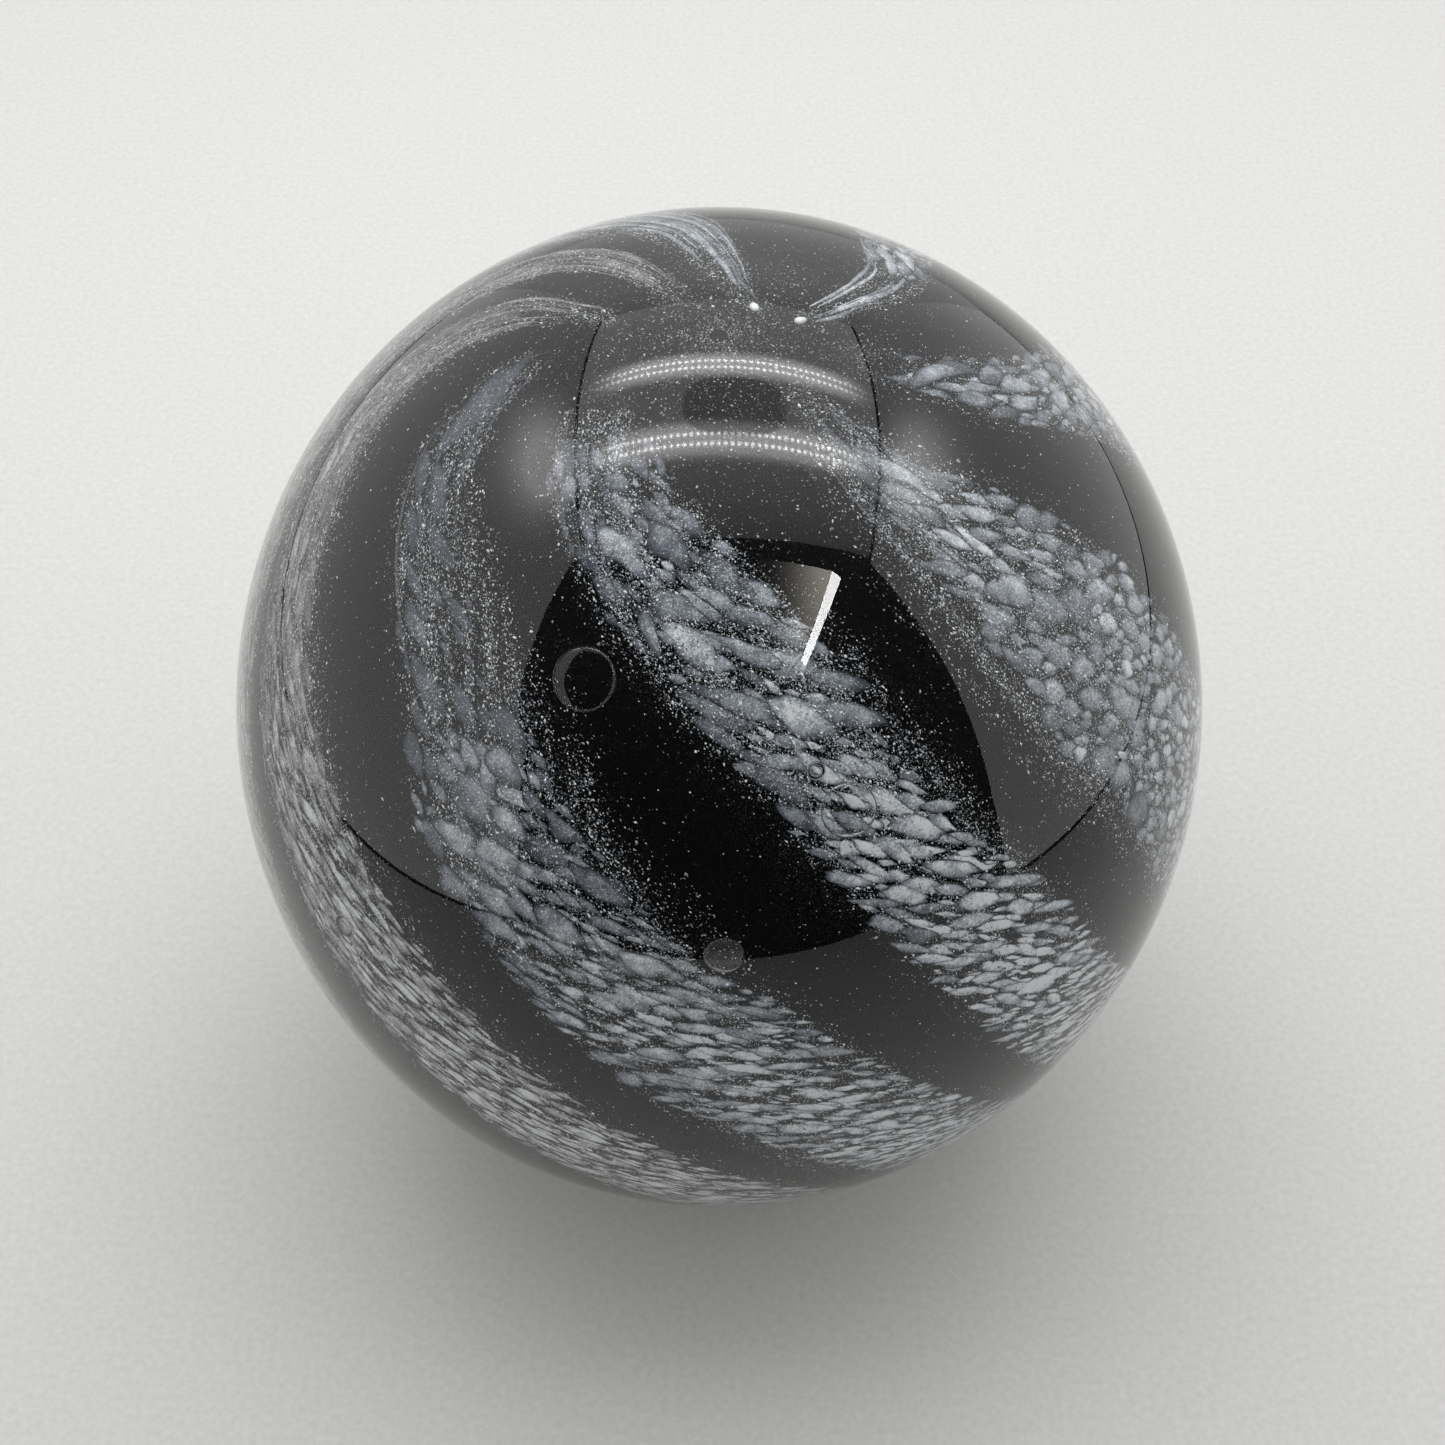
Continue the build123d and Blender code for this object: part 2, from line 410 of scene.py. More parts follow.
def laid_out(seat, forward, across, reach, breadth):
    """Points at those distances along and across from each seat."""
    along = forward[:, None] * reach[..., None]
    return seat[:, None] + along + across[:, None] * breadth[..., None]


SMALL_CHIPS_FROM = 0.45  # this share of the places is tried with full-size chips first
SMALL_CHIP_SIZE = 0.5  # the rest, this much smaller, fill what gaps are left
CHIP_MARGIN = 0.22  # keeps a chip from the band's edge, as a share of its length
MOST_CHIPS = 860  # in one band
CHIP_TRIES = 9000
CHIP_UNREST = 7.0  # degrees, how unevenly the chips are turned
CHIP_SPACING = 0.33  # how far apart chips are, as a share of their summed sizes
CHIP_THICKNESS = 0.10  # half of it, as a share of the chip's width
CHIP_RINGS = [(0.30, 1.0), (0.55, 0.94), (0.74, 0.78), (0.88, 0.46), (0.96, 0.16), (1.0, 0.02)]
CHIP_CORNERS = 18


def lens_form():
    """Points, faces and cover of a unit lens: how far its glass hides what is below it."""
    turn = np.linspace(0, 2 * np.pi, CHIP_CORNERS, endpoint=False)
    points = [(0.0, 0.0, 1.0)]
    cover = [1.0]
    for radius, ring_cover in CHIP_RINGS:
        rise = math.sqrt(1 - radius**2)
        points.extend((radius * math.cos(t), radius * math.sin(t), rise) for t in turn)
        cover.extend([ring_cover] * CHIP_CORNERS)
    points.append((0.0, 0.0, -0.6))
    cover.append(0.0)
    return np.array(points), ringed_faces(len(CHIP_RINGS), CHIP_CORNERS), np.array(cover)


CHIP_FORM, CHIP_FACES, CHIP_COVER = lens_form()
GRAIN_FORM = np.array([[1, 0, 0], [-1, 0, 0], [0, 1, 0], [0, -1, 0], [0, 0, 1], [0, 0, -1]], float)
GRAIN_FACES = np.array([
    [0, 2, 4], [2, 1, 4], [1, 3, 4], [3, 0, 4],
    [2, 0, 5], [1, 2, 5], [3, 1, 5], [0, 3, 5],
])


def chip_cloud(rng, band, looks):
    """Soft-edged glass chips packed along a band: points, faces and values."""
    first = looks["chip_fill"][0][0]
    tries = CHIP_TRIES
    angle = band.scatter(rng, tries, [(first - 0.1, 0.0), (first, 1.0)])
    side = rng.uniform(-1.0, 1.0, tries)
    size = np.where(np.arange(tries) < tries * SMALL_CHIPS_FROM, 1.0, SMALL_CHIP_SIZE)
    length = along_list(looks["chip_length"], angle) * size * rng.lognormal(0.0, 0.26, tries) * MM
    width = length / along_list(looks["chip_aspect"], angle) * rng.lognormal(0.0, 0.18, tries)
    half = np.interp(angle, band.angle, band.half)
    run = np.interp(angle, band.angle, band.run)
    shift = along_list(looks["chip_side"], angle)
    fade = 1 - 0.5 * side**2
    room = np.clip(1 - CHIP_MARGIN * length / half, 0.4, 1.0)
    side = side * room * (1 - np.abs(shift)) * along_list(looks["chip_spread"], angle) + shift
    across = side * half
    thick = streaks(rng, run / MM, across / MM * 0.6)
    fill = along_list(looks["chip_fill"], angle) * fade * (0.45 + 0.55 * thick)
    wanted = rng.random(tries) < fill
    kept = []
    for n in np.flatnonzero(wanted):
        near = np.array(kept, int)
        gap_along = (run[near] - run[n]) / (length[near] + length[n])
        gap_across = (across[near] - across[n]) / (width[near] + width[n])
        if np.all(gap_along**2 + gap_across**2 > CHIP_SPACING**2):
            kept.append(n)
    kept = np.array(kept[:MOST_CHIPS], int)
    fade = fade[kept]
    angle, side, length, width = angle[kept], side[kept], length[kept], width[kept]
    count = len(kept)
    seat, flow = band.place(angle, side)
    turn = np.radians(along_list(looks["chip_turn"], angle) + rng.normal(0.0, CHIP_UNREST, count))
    forward, across = local_axes(seat, flow, turn)

    form = np.broadcast_to(CHIP_FORM, (count,) + CHIP_FORM.shape)
    x, y, z = form[..., 0], form[..., 1], form[..., 2]
    bearing = np.arctan2(y, x)
    outline = np.ones_like(x)
    for lobe in (2, 3, 4, 5, 7, 9):
        phase = rng.uniform(0, 2 * np.pi, (count, 1))
        swell = rng.normal(0.0, 0.25 / lobe, (count, 1))
        outline = outline + swell * np.cos(lobe * bearing + phase)
    lean = rng.uniform(-0.35, 0.35, (count, 1))
    bend = rng.normal(0.0, 0.14, (count, 1))
    point = rng.uniform(0.15, 0.6, (count, 1))
    reach = length[:, None] / 2 * x * outline
    breadth = y * outline * (1 + lean * x) * (1 - point * x**2) + bend * (x**2 - 0.4)
    breadth = breadth * width[:, None] / 2
    thickness = np.clip(width, 0.6 * MM, 1.6 * MM)[:, None] * CHIP_THICKNESS
    lift = rng.uniform(-0.02, 0.12, (count, 1)) * MM
    height = thickness * z + lift
    points = pressed_on(laid_out(seat, forward, across, reach, breadth), height)
    cover = np.broadcast_to(CHIP_COVER, x.shape) * rng.uniform(0.8, 1.0, (count, 1))
    tone = np.clip(rng.normal(1.0, 0.16, (count, 1)), 0.55, 1.4)
    # The chips' whiteness along the band. Lower down the ball it is partly painted light, raised
    # where less light falls.
    tone = tone * (along_list(looks["chip_white_and_painted_light"], angle) * (0.35 + 0.65 * fade))[:, None]
    tone = tone * (1 + rng.normal(0.0, 0.16, (count, 1)) * x + 0.22 * y)
    faces = copies(CHIP_FACES, count, len(CHIP_FORM))
    return points.reshape(-1, 3), faces, cover.ravel(), tone.ravel()


STRAND_STATIONS = 22
STRAND_CORNERS = 8


def strand_cloud(rng, band, looks):
    """Drawn-out threads of glass that follow the flow: points, faces and values."""
    count = looks["strands"]
    start, end = looks["strand_span"]
    begin = start + (end - start) * np.abs(rng.normal(0.0, 0.35, count))
    begin = np.clip(begin, start, end - 5)
    finish = np.minimum(begin + (end - start) * rng.uniform(0.2, 0.75, count), end + 6)
    t = np.linspace(0, 1, STRAND_STATIONS)[None]
    angle = begin[:, None] + (finish - begin)[:, None] * t
    wander = rng.normal(0.0, 0.05, (count, 1))
    wander = wander * np.sin(t * rng.uniform(3, 8, (count, 1)) + begin[:, None])
    side = rng.uniform(-0.95, 0.95, (count, 1)) + wander
    seat, flow = band.place(angle, side)
    normal = surface_normal(seat, WALL)
    across = unit(np.cross(normal, flow))
    opening = np.interp(angle, band.angle, band.half) / band.half.max()
    half_width = rng.lognormal(0.0, 0.5, (count, 1)) * looks["strand_width"] * (0.45 + opening) * MM
    taper = (4 * t * (1 - t)) ** 0.45 + 0.02
    half_width = half_width * taper
    half_height = np.minimum(half_width, 0.16 * MM) * 0.9
    corner = np.linspace(0, 2 * np.pi, STRAND_CORNERS, endpoint=False)
    reach = half_width[..., None] * np.cos(corner)
    height = half_height[..., None] * np.sin(corner) + 0.02 * MM
    points = seat[:, :, None] + across[:, :, None] * reach[..., None]
    points = pressed_on(points, height)
    cover = (0.45 + 0.55 * np.abs(np.sin(corner))) * np.ones_like(reach)
    tone = rng.uniform(0.35, 1.25, (count, 1, 1)) * looks["strand_light"] * np.ones_like(reach)

    ring = np.arange(STRAND_CORNERS)
    onward = np.roll(ring, -1)
    quads = []
    for station in range(STRAND_STATIONS - 1):
        low, high = station * STRAND_CORNERS, (station + 1) * STRAND_CORNERS
        quads.append(np.stack([low + ring, low + onward, high + onward, high + ring], -1))
    tube = np.concatenate(quads)
    stride = STRAND_STATIONS * STRAND_CORNERS
    faces = repeated(tube, count, stride).tolist()
    for n in range(count):
        faces.append((n * stride + ring[::-1]).tolist())
        faces.append((n * stride + stride - STRAND_CORNERS + ring).tolist())
    return points.reshape(-1, 3), faces, cover.ravel(), tone.ravel()


def streaks(rng, along, across):
    """Clumps drawn out along the flow, 0 to 1, for places given in mm."""
    total = np.zeros_like(along)
    for _ in range(14):
        pitch_across = rng.uniform(0.35, 1.6)
        pitch_along = pitch_across / rng.uniform(3.0, 7.0)
        wave = across * pitch_across * 2.4 + along * pitch_along * 2.4
        total += np.sin(wave + rng.uniform(0, 6.3))
    return 1 / (1 + np.exp(-total * 0.75))


def grain_cloud(rng, seat, flow, size, height, stretch):
    """Powder grains on the core: points, faces and values."""
    count = len(seat)
    forward, across = local_axes(seat, flow, rng.normal(0.0, 0.45, count))
    form = GRAIN_FORM * rng.uniform(0.7, 1.3, (count, 6, 1))
    reach = form[..., 0] * (size * stretch)[:, None]
    breadth = form[..., 1] * size[:, None]
    points = laid_out(seat, forward, across, reach, breadth)
    points = pressed_on(points, form[..., 2] * size[:, None] * 0.8 + height[:, None])
    tone = np.repeat(np.clip(rng.lognormal(-0.50, 0.75, count), 0.06, 1.9), 6)
    return points.reshape(-1, 3), repeated(GRAIN_FACES, count, 6), tone


MOST_GRAINS = 24000  # in one piece
GRAIN_REACH = 1.25  # allows for the powder that lies outside the band
GRAIN_TRIES = 2.6  # places tried for each grain, because the gaps in the streaks stay empty
MOST_GRAIN_SPREAD = 1.4  # the powder follows chip_spread up to this


def band_grains(rng, band, looks):
    """Where one band's powder lies, clumped in streaks along the flow, from the crown down."""
    tries = int(band.amount(looks["grains"], GRAIN_REACH) * GRAIN_TRIES)
    angle = band.scatter(rng, tries, looks["grains"])
    side = rng.uniform(-1, 1, tries) + rng.normal(0, 0.16, tries)
    side = side * np.minimum(along_list(looks["chip_spread"], angle), MOST_GRAIN_SPREAD)
    side = side + along_list(looks["grain_side"], angle) * np.abs(rng.normal(0, 1, tries))
    half = np.interp(angle, band.angle, band.half) / MM
    run = np.interp(angle, band.angle, band.run) / MM
    clump = streaks(rng, run, side * half)
    edge = np.exp(-np.clip(np.abs(side) - 0.85, 0, 9) * 2.6)
    kept = rng.random(tries) < (0.2 + 0.8 * clump) * edge
    angle, side = angle[kept], side[kept]
    downward = np.argsort(angle)
    angle, side = angle[downward], side[downward]
    seat, flow = band.place(angle, side)
    count = len(angle)
    size = np.clip(rng.lognormal(math.log(0.034), 0.45, count), 0.018, 0.12) * MM
    height = rng.uniform(0.02, 0.26, count) * MM
    return seat, flow, size, height, rng.uniform(1.0, 2.4, count)


# ---- materials ----


def new_material(name):
    material = bpy.data.materials.new(name)
    material.use_nodes = True
    tree = material.node_tree
    return material, tree, tree.nodes["Principled BSDF"]


def node(tree, kind, **settings):
    made = tree.nodes.new(kind)
    for key, value in settings.items():
        setattr(made, key, value)
    return made


def noise(tree, scale, detail=2.0, rough=0.5):
    """Noise in the object's own metres."""
    place = node(tree, "ShaderNodeTexCoord")
    made = node(tree, "ShaderNodeTexNoise")
    made.inputs["Scale"].default_value = scale
    made.inputs["Detail"].default_value = detail
    made.inputs["Roughness"].default_value = rough
    tree.links.new(place.outputs["Object"], made.inputs["Vector"])
    return made.outputs["Fac"]


def maths(tree, operation, first, second, clamp=False):
    made = node(tree, "ShaderNodeMath", operation=operation, use_clamp=clamp)
    for socket, value in zip(made.inputs, (first, second)):
        if isinstance(value, (int, float)):
            socket.default_value = value
        else:
            tree.links.new(value, socket)
    return made.outputs[0]


def spread(tree, value, low, high, to_low, to_high):
    made = node(tree, "ShaderNodeMapRange")
    keys = ("From Min", "From Max", "To Min", "To Max")
    for key, number in zip(keys, (low, high, to_low, to_high)):
        made.inputs[key].default_value = number
    tree.links.new(value, made.inputs["Value"])
    return made.outputs["Result"]


def ramp(tree, value, stops):
    made = node(tree, "ShaderNodeValToRGB")
    while len(made.color_ramp.elements) < len(stops):
        made.color_ramp.elements.new(0.5)
    for element, (place, colour) in zip(made.color_ramp.elements, stops):
        element.position = place
        element.color = (*colour, 1.0)
    tree.links.new(value, made.inputs["Fac"])
    return made.outputs["Color"]


def set_surface(tree, shader, colour, roughness, shine):
    tree.links.new(colour, shader.inputs["Base Color"])
    shader.inputs["Roughness"].default_value = roughness
    shader.inputs["Specular IOR Level"].default_value = shine


def chip_glass(name, warmth):
    """Opal white glass, thin and dark at its edges, with a cloudy inside."""
    material, tree, shader = new_material(name)
    cover = node(tree, "ShaderNodeAttribute", attribute_name="cover").outputs["Fac"]
    tone = node(tree, "ShaderNodeAttribute", attribute_name="tone").outputs["Fac"]
    cloud = spread(tree, noise(tree, 800.0, 3.0, 0.6), 0.3, 0.7, 0.60, 1.16)
    grain = spread(tree, noise(tree, 4200.0, 2.0, 0.7), 0.35, 0.65, 0.82, 1.16)
    specks = spread(tree, noise(tree, 8500.0, 1.0), 0.58, 0.70, 0.0, 0.48)
    strength = maths(tree, "MULTIPLY", maths(tree, "MULTIPLY", cover, tone), cloud)
    strength = maths(tree, "MULTIPLY", strength, grain)
    strength = maths(tree, "ADD", strength, maths(tree, "MULTIPLY", specks, cover), clamp=True)
    colour = ramp(tree, strength, [
        (0.0, (0.007, 0.008, 0.009)),
        (0.35, (0.085 + 0.015 * warmth, 0.096, 0.115 - 0.02 * warmth)),
        (0.75, (0.375 + 0.02 * warmth, 0.408, 0.445 - 0.045 * warmth)),
        (1.0, (0.70, 0.73, 0.76)),
    ])
    set_surface(tree, shader, colour, 0.45, 0.05)
    return material


def powder_glass(name):
    """Fine white frit: grains of uneven brightness."""
    material, tree, shader = new_material(name)
    tone = node(tree, "ShaderNodeAttribute", attribute_name="tone").outputs["Fac"]
    mottle = spread(tree, noise(tree, 3000.0), 0.3, 0.7, 0.8, 1.15)
    strength = maths(tree, "MULTIPLY", tone, mottle, clamp=True)
    colour = ramp(tree, strength, [
        (0.0, (0.045, 0.05, 0.06)),
        (0.6, (0.40, 0.43, 0.46)),
        (1.0, (0.87, 0.91, 0.94)),
    ])
    set_surface(tree, shader, colour, 0.5, 0.1)
    return material


def black_glass():
    """Opaque black glass with a faint haze of the finest powder."""
    material, tree, shader = new_material("black_glass_core")
    haze = node(tree, "ShaderNodeAttribute", attribute_name="haze").outputs["Fac"]
    dust = spread(tree, noise(tree, 9000.0, 1.0), 0.60, 0.72, 0.0, 1.0)
    patchy = spread(tree, noise(tree, 420.0, 3.0), 0.35, 0.65, 0.4, 1.3)
    strength = maths(tree, "MULTIPLY", maths(tree, "MULTIPLY", haze, patchy), dust, clamp=True)
    colour = ramp(tree, strength, [
        (0.0, (0.0035, 0.0035, 0.004)),
        (0.5, (0.10, 0.105, 0.11)),
        (1.0, (0.42, 0.43, 0.43)),
    ])
    set_surface(tree, shader, colour, 0.4, 0.02)
    return material


def clear_glass():
    """Thick clear glass. Light reaches what is inside without being bent on its way."""
    material, tree, shader = new_material("clear_glass_casing")
    shader.inputs["Base Color"].default_value = (0.985, 0.99, 0.99, 1.0)
    shader.inputs["Transmission Weight"].default_value = 1.0
    shader.inputs["IOR"].default_value = 1.5
    shader.inputs["Roughness"].default_value = 0.0
    ripple = node(tree, "ShaderNodeBump")
    ripple.inputs["Strength"].default_value = 0.03
    ripple.inputs["Distance"].default_value = 0.5 * MM
    tree.links.new(noise(tree, 45.0, 1.0), ripple.inputs["Height"])
    tree.links.new(ripple.outputs["Normal"], shader.inputs["Normal"])
    clear = node(tree, "ShaderNodeBsdfTransparent")
    rays = node(tree, "ShaderNodeLightPath").outputs
    pass_light = maths(tree, "MAXIMUM", rays["Is Shadow Ray"], rays["Is Diffuse Ray"])
    mixer = node(tree, "ShaderNodeMixShader")
    tree.links.new(pass_light, mixer.inputs[0])
    tree.links.new(shader.outputs[0], mixer.inputs[1])
    tree.links.new(clear.outputs[0], mixer.inputs[2])
    tree.links.new(mixer.outputs[0], tree.nodes["Material Output"].inputs["Surface"])
    return material


CHIPS_COOL = chip_glass("frit_chips_cool", 0.0)
CHIPS_WARM = chip_glass("frit_chips_warm", 1.0)
POWDER = powder_glass("frit_powder")
BLACK = black_glass()
CLEAR = clear_glass()

# ---- the frit ----

bands = {name: Band(**layout) for name, layout in BANDS.items()}


def joined(parts):
    """Several (points, faces, cover, tone) as one."""
    points, faces, covers, tones = [], [], [], []
    start = 0
    for part_points, part_faces, cover, tone in parts:
        points.append(part_points)
        faces.extend([corner + start for corner in face] for face in part_faces)
        covers.append(cover)
        tones.append(tone)
        start += len(part_points)
    return np.concatenate(points), faces, np.concatenate(covers), np.concatenate(tones)


for index, (name, band) in enumerate(bands.items()):
    rng = np.random.default_rng(100 + index)
    looks = BAND_LOOKS[name]
    clouds = [chip_cloud(rng, band, looks)]
    if looks["strands"]:
        clouds.append(strand_cloud(rng, band, looks))
    points, faces, cover, tone = joined(clouds)
    material = CHIPS_WARM if name in ("frit_band_3", "frit_band_4") else CHIPS_COOL
    chips = mesh_piece(f"{name}_chips", points, faces, material, dict(cover=cover, tone=tone))
    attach(chips, ROOT)
    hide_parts(name)
    places = band_grains(rng, band, looks)
    stretches = math.ceil(len(places[0]) / MOST_GRAINS)
    for stretch in range(stretches):
        chosen = [np.array_split(values, stretches)[stretch] for values in places]
        points, faces, tone = grain_cloud(rng, *chosen)
        powder = mesh_piece(f"{name}_powder_{stretch + 1}", points, faces, POWDER, dict(tone=tone))
        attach(powder, ROOT)

# ---- loose powder between the bands, thickest round the crown ----


LOOSE_GRAINS = 24500
CROWN_SHARE = 0.3  # of them, drawn close to the crown


def loose_powder():
    """Powder grains all over the core: points, faces and values."""
    rng = np.random.default_rng(300)
    count = LOOSE_GRAINS
    crown = int(count * CROWN_SHARE)
    even = np.degrees(np.arccos(rng.uniform(-0.9, 1.0, count - crown)))
    near = np.abs(rng.normal(0.0, 17.0, crown)) + 1.0
    angle = np.concatenate([even, near])
    longitude = rng.uniform(0, 360, count)
    seat = surface_point(angle, longitude, WALL)
    turn = np.radians(longitude + 55)
    flow = np.stack([np.cos(turn), np.sin(turn), -0.6 * np.ones(count)], -1)
    size = np.clip(rng.lognormal(math.log(0.030), 0.42, count), 0.018, 0.12) * MM
    height = rng.uniform(0.0, 0.25, count) * MM
    return grain_cloud(rng, seat, flow, size, height, rng.uniform(1.0, 1.8, count))


points, faces, tone = loose_powder()
loose = mesh_piece("frit_loose_powder", points, faces, POWDER, dict(tone=tone))
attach(loose, ROOT)

# ---- the nipped-off tips ----

for index, (name, band_name) in enumerate(BEADED_BANDS.items()):
    rng = np.random.default_rng(400 + index)
    form, faces = icosphere(4)
    band = bands[band_name]
    seat, flow = band.place(np.array([band.angle[0]]), np.array([0.0]))
    forward, across = local_axes(seat, flow, np.zeros(1))
    up = surface_normal(seat, WALL)
    pull = 1 + 0.35 * np.clip(form[:, 0], 0, 1) ** 2
    dent = 1 - 0.18 * np.exp(-((form[:, 0] + 0.2) ** 2 + form[:, 1] ** 2) * 6)
    size = TIP_BEAD_RADIUS * 0.92
    points = (
        seat
        + forward * (form[:, :1] * size * pull[:, None])
        + across * (form[:, 1:2] * size * 0.8)
        + up * (form[:, 2:] * size * 0.9 * dent[:, None])
    )
    ones = np.ones(len(points))
    bead = mesh_piece(f"{name}_bead", points, faces, CHIPS_COOL, dict(cover=ones, tone=ones * 1.5))
    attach(bead, ROOT)
    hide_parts(name)

# ---- the black core ----


def lathe(profile, segments):
    """Points and faces of a turned form. Its profile runs from top to bottom, axis to axis."""
    turn = np.linspace(0, 2 * np.pi, segments, endpoint=False)
    rings = profile[1:-1]
    points = [(0.0, 0.0, profile[0][1])]
    for radius, height in rings:
        points.extend(zip(radius * np.cos(turn), radius * np.sin(turn), np.full(segments, height)))
    points.append((0.0, 0.0, profile[-1][1]))
    return np.array(points, float), ringed_faces(len(rings), segments)


def arc_profile(inset, last_angle, steps):
    """(radius, height) down a spheroid, from its top to the given angle."""
    angle = np.radians(np.linspace(0, last_angle, steps))
    axes = spheroid_axes(inset)
    return [(axes[0] * math.sin(a), CENTRE_HEIGHT + axes[2] * math.cos(a)) for a in angle]


def frit_haze(points):
    """How thick the finest powder lies on the core at each point."""
    offset = unit((points - CENTRE) / spheroid_axes(WALL))
    angle = np.degrees(np.arccos(np.clip(offset[:, 2], -1, 1)))
    haze = 0.06 + 0.30 * np.exp(-((angle / 26) ** 2)) + 0.12 * np.clip((angle - 52) / 30, 0, 1)
    for band in bands.values():
        line = unit((band.line - CENTRE) / spheroid_axes(WALL))
        step = 5
        nearest = np.full(len(points), 9.0)
        for centre, half in zip(line[::step], band.half[::step] / (OUTER_RADIUS - WALL)):
            away = np.arccos(np.clip(offset @ centre, -1, 1)) / half
            nearest = np.minimum(nearest, away)
        haze += 0.80 * np.exp(-np.clip(nearest - 0.55, 0, 9) ** 2 * 3.2)
    return haze


core_axes = spheroid_axes(WALL)
neck_angle = 180 - math.degrees(math.asin(NECK_RADIUS / core_axes[0]))
core_profile = arc_profile(WALL, neck_angle, 200)
core_profile += [(NECK_RADIUS, 0.02 * MM), (NECK_RADIUS - 0.02 * MM, 0.0), (0.0, 0.0)]
points, faces = lathe(core_profile, 360)
core = mesh_piece("black_core_body", points, faces, BLACK, dict(haze=frit_haze(points)))
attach(core, ROOT)
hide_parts("black_core")

# ---- the clear casing and its trapped air ----


def bubble_form(place, width, thickness, depth):
    """Points and faces of one flattened void. Its faces look into the void."""
    form, faces = icosphere(5)
    seat = surface_point(np.array([place[0]], float), np.array([place[1]], float), depth * MM)
    up = surface_normal(seat, depth * MM)
    side = unit(np.cross(up, [[0.0, 0.0, 1.0]]))
    ahead = np.cross(up, side)
    points = (
        seat
        + side * form[:, :1] * width / 2 * MM
        + ahead * form[:, 1:2] * width / 2 * MM
        + up * form[:, 2:] * thickness / 2 * MM
    )
    return points, faces[:, ::-1]


base_angle = 180 - math.degrees(math.asin((BASE_RADIUS + BASE_BEVEL * 0.4) / OUTER_RADIUS))
casing_profile = arc_profile(0.0, base_angle, 150)
casing_profile[0] = (0.0, HEIGHT - SAFETY)
casing_profile += [(BASE_RADIUS - BASE_BEVEL, 0.0), (0.0, 0.0)]
points, faces = lathe(casing_profile, 288)
outer_count = len(points)
all_points = [points]
for place, width, thickness, depth in BUBBLES:
    void_points, void_faces = bubble_form(place, width, thickness, depth)
    start = sum(len(group) for group in all_points)
    all_points.append(void_points)
    faces.extend((void_faces + start).tolist())
points = np.concatenate(all_points)
casing = mesh_piece("clear_casing_glass", points, faces, CLEAR)
normals = surface_normal(points, 0.0)
corner_normals = []
for face in casing.data.polygons:
    on_spheroid = all(v < outer_count and points[v][2] > BASE_BEVEL / 2 for v in face.vertices)
    for v in face.vertices:
        corner_normals.append(tuple(normals[v]) if on_spheroid else (0.0, 0.0, 0.0))
casing.data.normals_split_custom_set(corner_normals)
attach(casing, ROOT)
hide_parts("clear_casing")

# ---- the studio: a pale sheet inside a small light tent that is open in front ----

TENT_TOP = 0.40
TENT_LEFT = -0.195
TENT_RIGHT = 0.225
TENT_BACK = 0.46
CEILING_FRONT = -0.08
SEAM = 0.003  # dark gap between the tent's sides
SHEET_FRONT = -0.33  # how far the sheet comes forward below the tent
FLOOR_REACH = 1.6  # how far the floor goes on past the tent, outside its reflection
# Front edges of the tent's two side walls, from top to bottom: (y, z).
LEFT_EDGE = [
    (-0.07, 0.397), (-0.11, 0.29), (-0.15, 0.20),
    (-0.20, 0.15), (-0.24, 0.05), (-0.24, SEAM),
]
RIGHT_EDGE = [(-0.09, 0.397), (-0.12, 0.21), (-0.145, 0.08), (-0.15, SEAM)]


def paper():
    material, tree, shader = new_material("pale_sheet")
    grain = noise(tree, 1400.0, 3.0, 0.6)
    colour = ramp(tree, grain, [(0.3, (0.66, 0.655, 0.645)), (0.7, (0.74, 0.735, 0.725))])
    set_surface(tree, shader, colour, 0.9, 0.1)
    return material


def glow(name, strength, colour=(1.0, 0.99, 0.98)):
    """A plain emitting material and its node tree, to add a pattern to."""
    material = bpy.data.materials.new(name)
    material.use_nodes = True
    tree = material.node_tree
    tree.nodes.remove(tree.nodes["Principled BSDF"])
    emitter = node(tree, "ShaderNodeEmission")
    emitter.inputs["Color"].default_value = (*colour, 1.0)
    emitter.inputs["Strength"].default_value = strength
    tree.links.new(emitter.outputs[0], tree.nodes["Material Output"].inputs["Surface"])
    material.cycles.emission_sampling = "NONE"
    return material, tree, emitter


def sheet(name, corners, material, reflection_only=True):
    """A flat sheet of the studio, by default one that is seen in reflections alone."""
    piece = mesh_piece(name, np.array(corners, float), [list(range(len(corners)))], material)
    if reflection_only:
        piece.visible_camera = False
        piece.visible_diffuse = False
        piece.visible_shadow = False


def fading(tree, amount):
    """1 at nothing, falling towards 0 as the amount grows."""
    return maths(tree, "POWER", math.e, maths(tree, "MULTIPLY", amount, -1.0))


def soft_spot(tree, middle, size):
    """1 at the middle point, fading to nothing over size."""
    place = node(tree, "ShaderNodeTexCoord").outputs["Object"]
    shifted = node(tree, "ShaderNodeVectorMath", operation="SUBTRACT")
    shifted.inputs[1].default_value = middle
    tree.links.new(place, shifted.inputs[0])
    shrunk = node(tree, "ShaderNodeVectorMath", operation="DIVIDE")
    shrunk.inputs[1].default_value = size
    tree.links.new(shifted.outputs[0], shrunk.inputs[0])
    away = node(tree, "ShaderNodeVectorMath", operation="DOT_PRODUCT")
    tree.links.new(shrunk.outputs[0], away.inputs[0])
    tree.links.new(shrunk.outputs[0], away.inputs[1])
    return fading(tree, away.outputs["Value"])


def add_glow(tree, emitter, spots, low, high):
    """Brightens an emitter from low to high at soft spots, each a middle point and a size."""
    total = 0.0
    for middle, size in spots:
        total = maths(tree, "ADD", soft_spot(tree, middle, size), total)
    tree.links.new(spread(tree, total, 0.0, 1.0, low, high), emitter.inputs["Strength"])


def level(x_low, x_high, y_low, y_high, z):
    """The corners of a level rectangle."""
    return [(x_low, y_low, z), (x_high, y_low, z), (x_high, y_high, z), (x_low, y_high, z)]


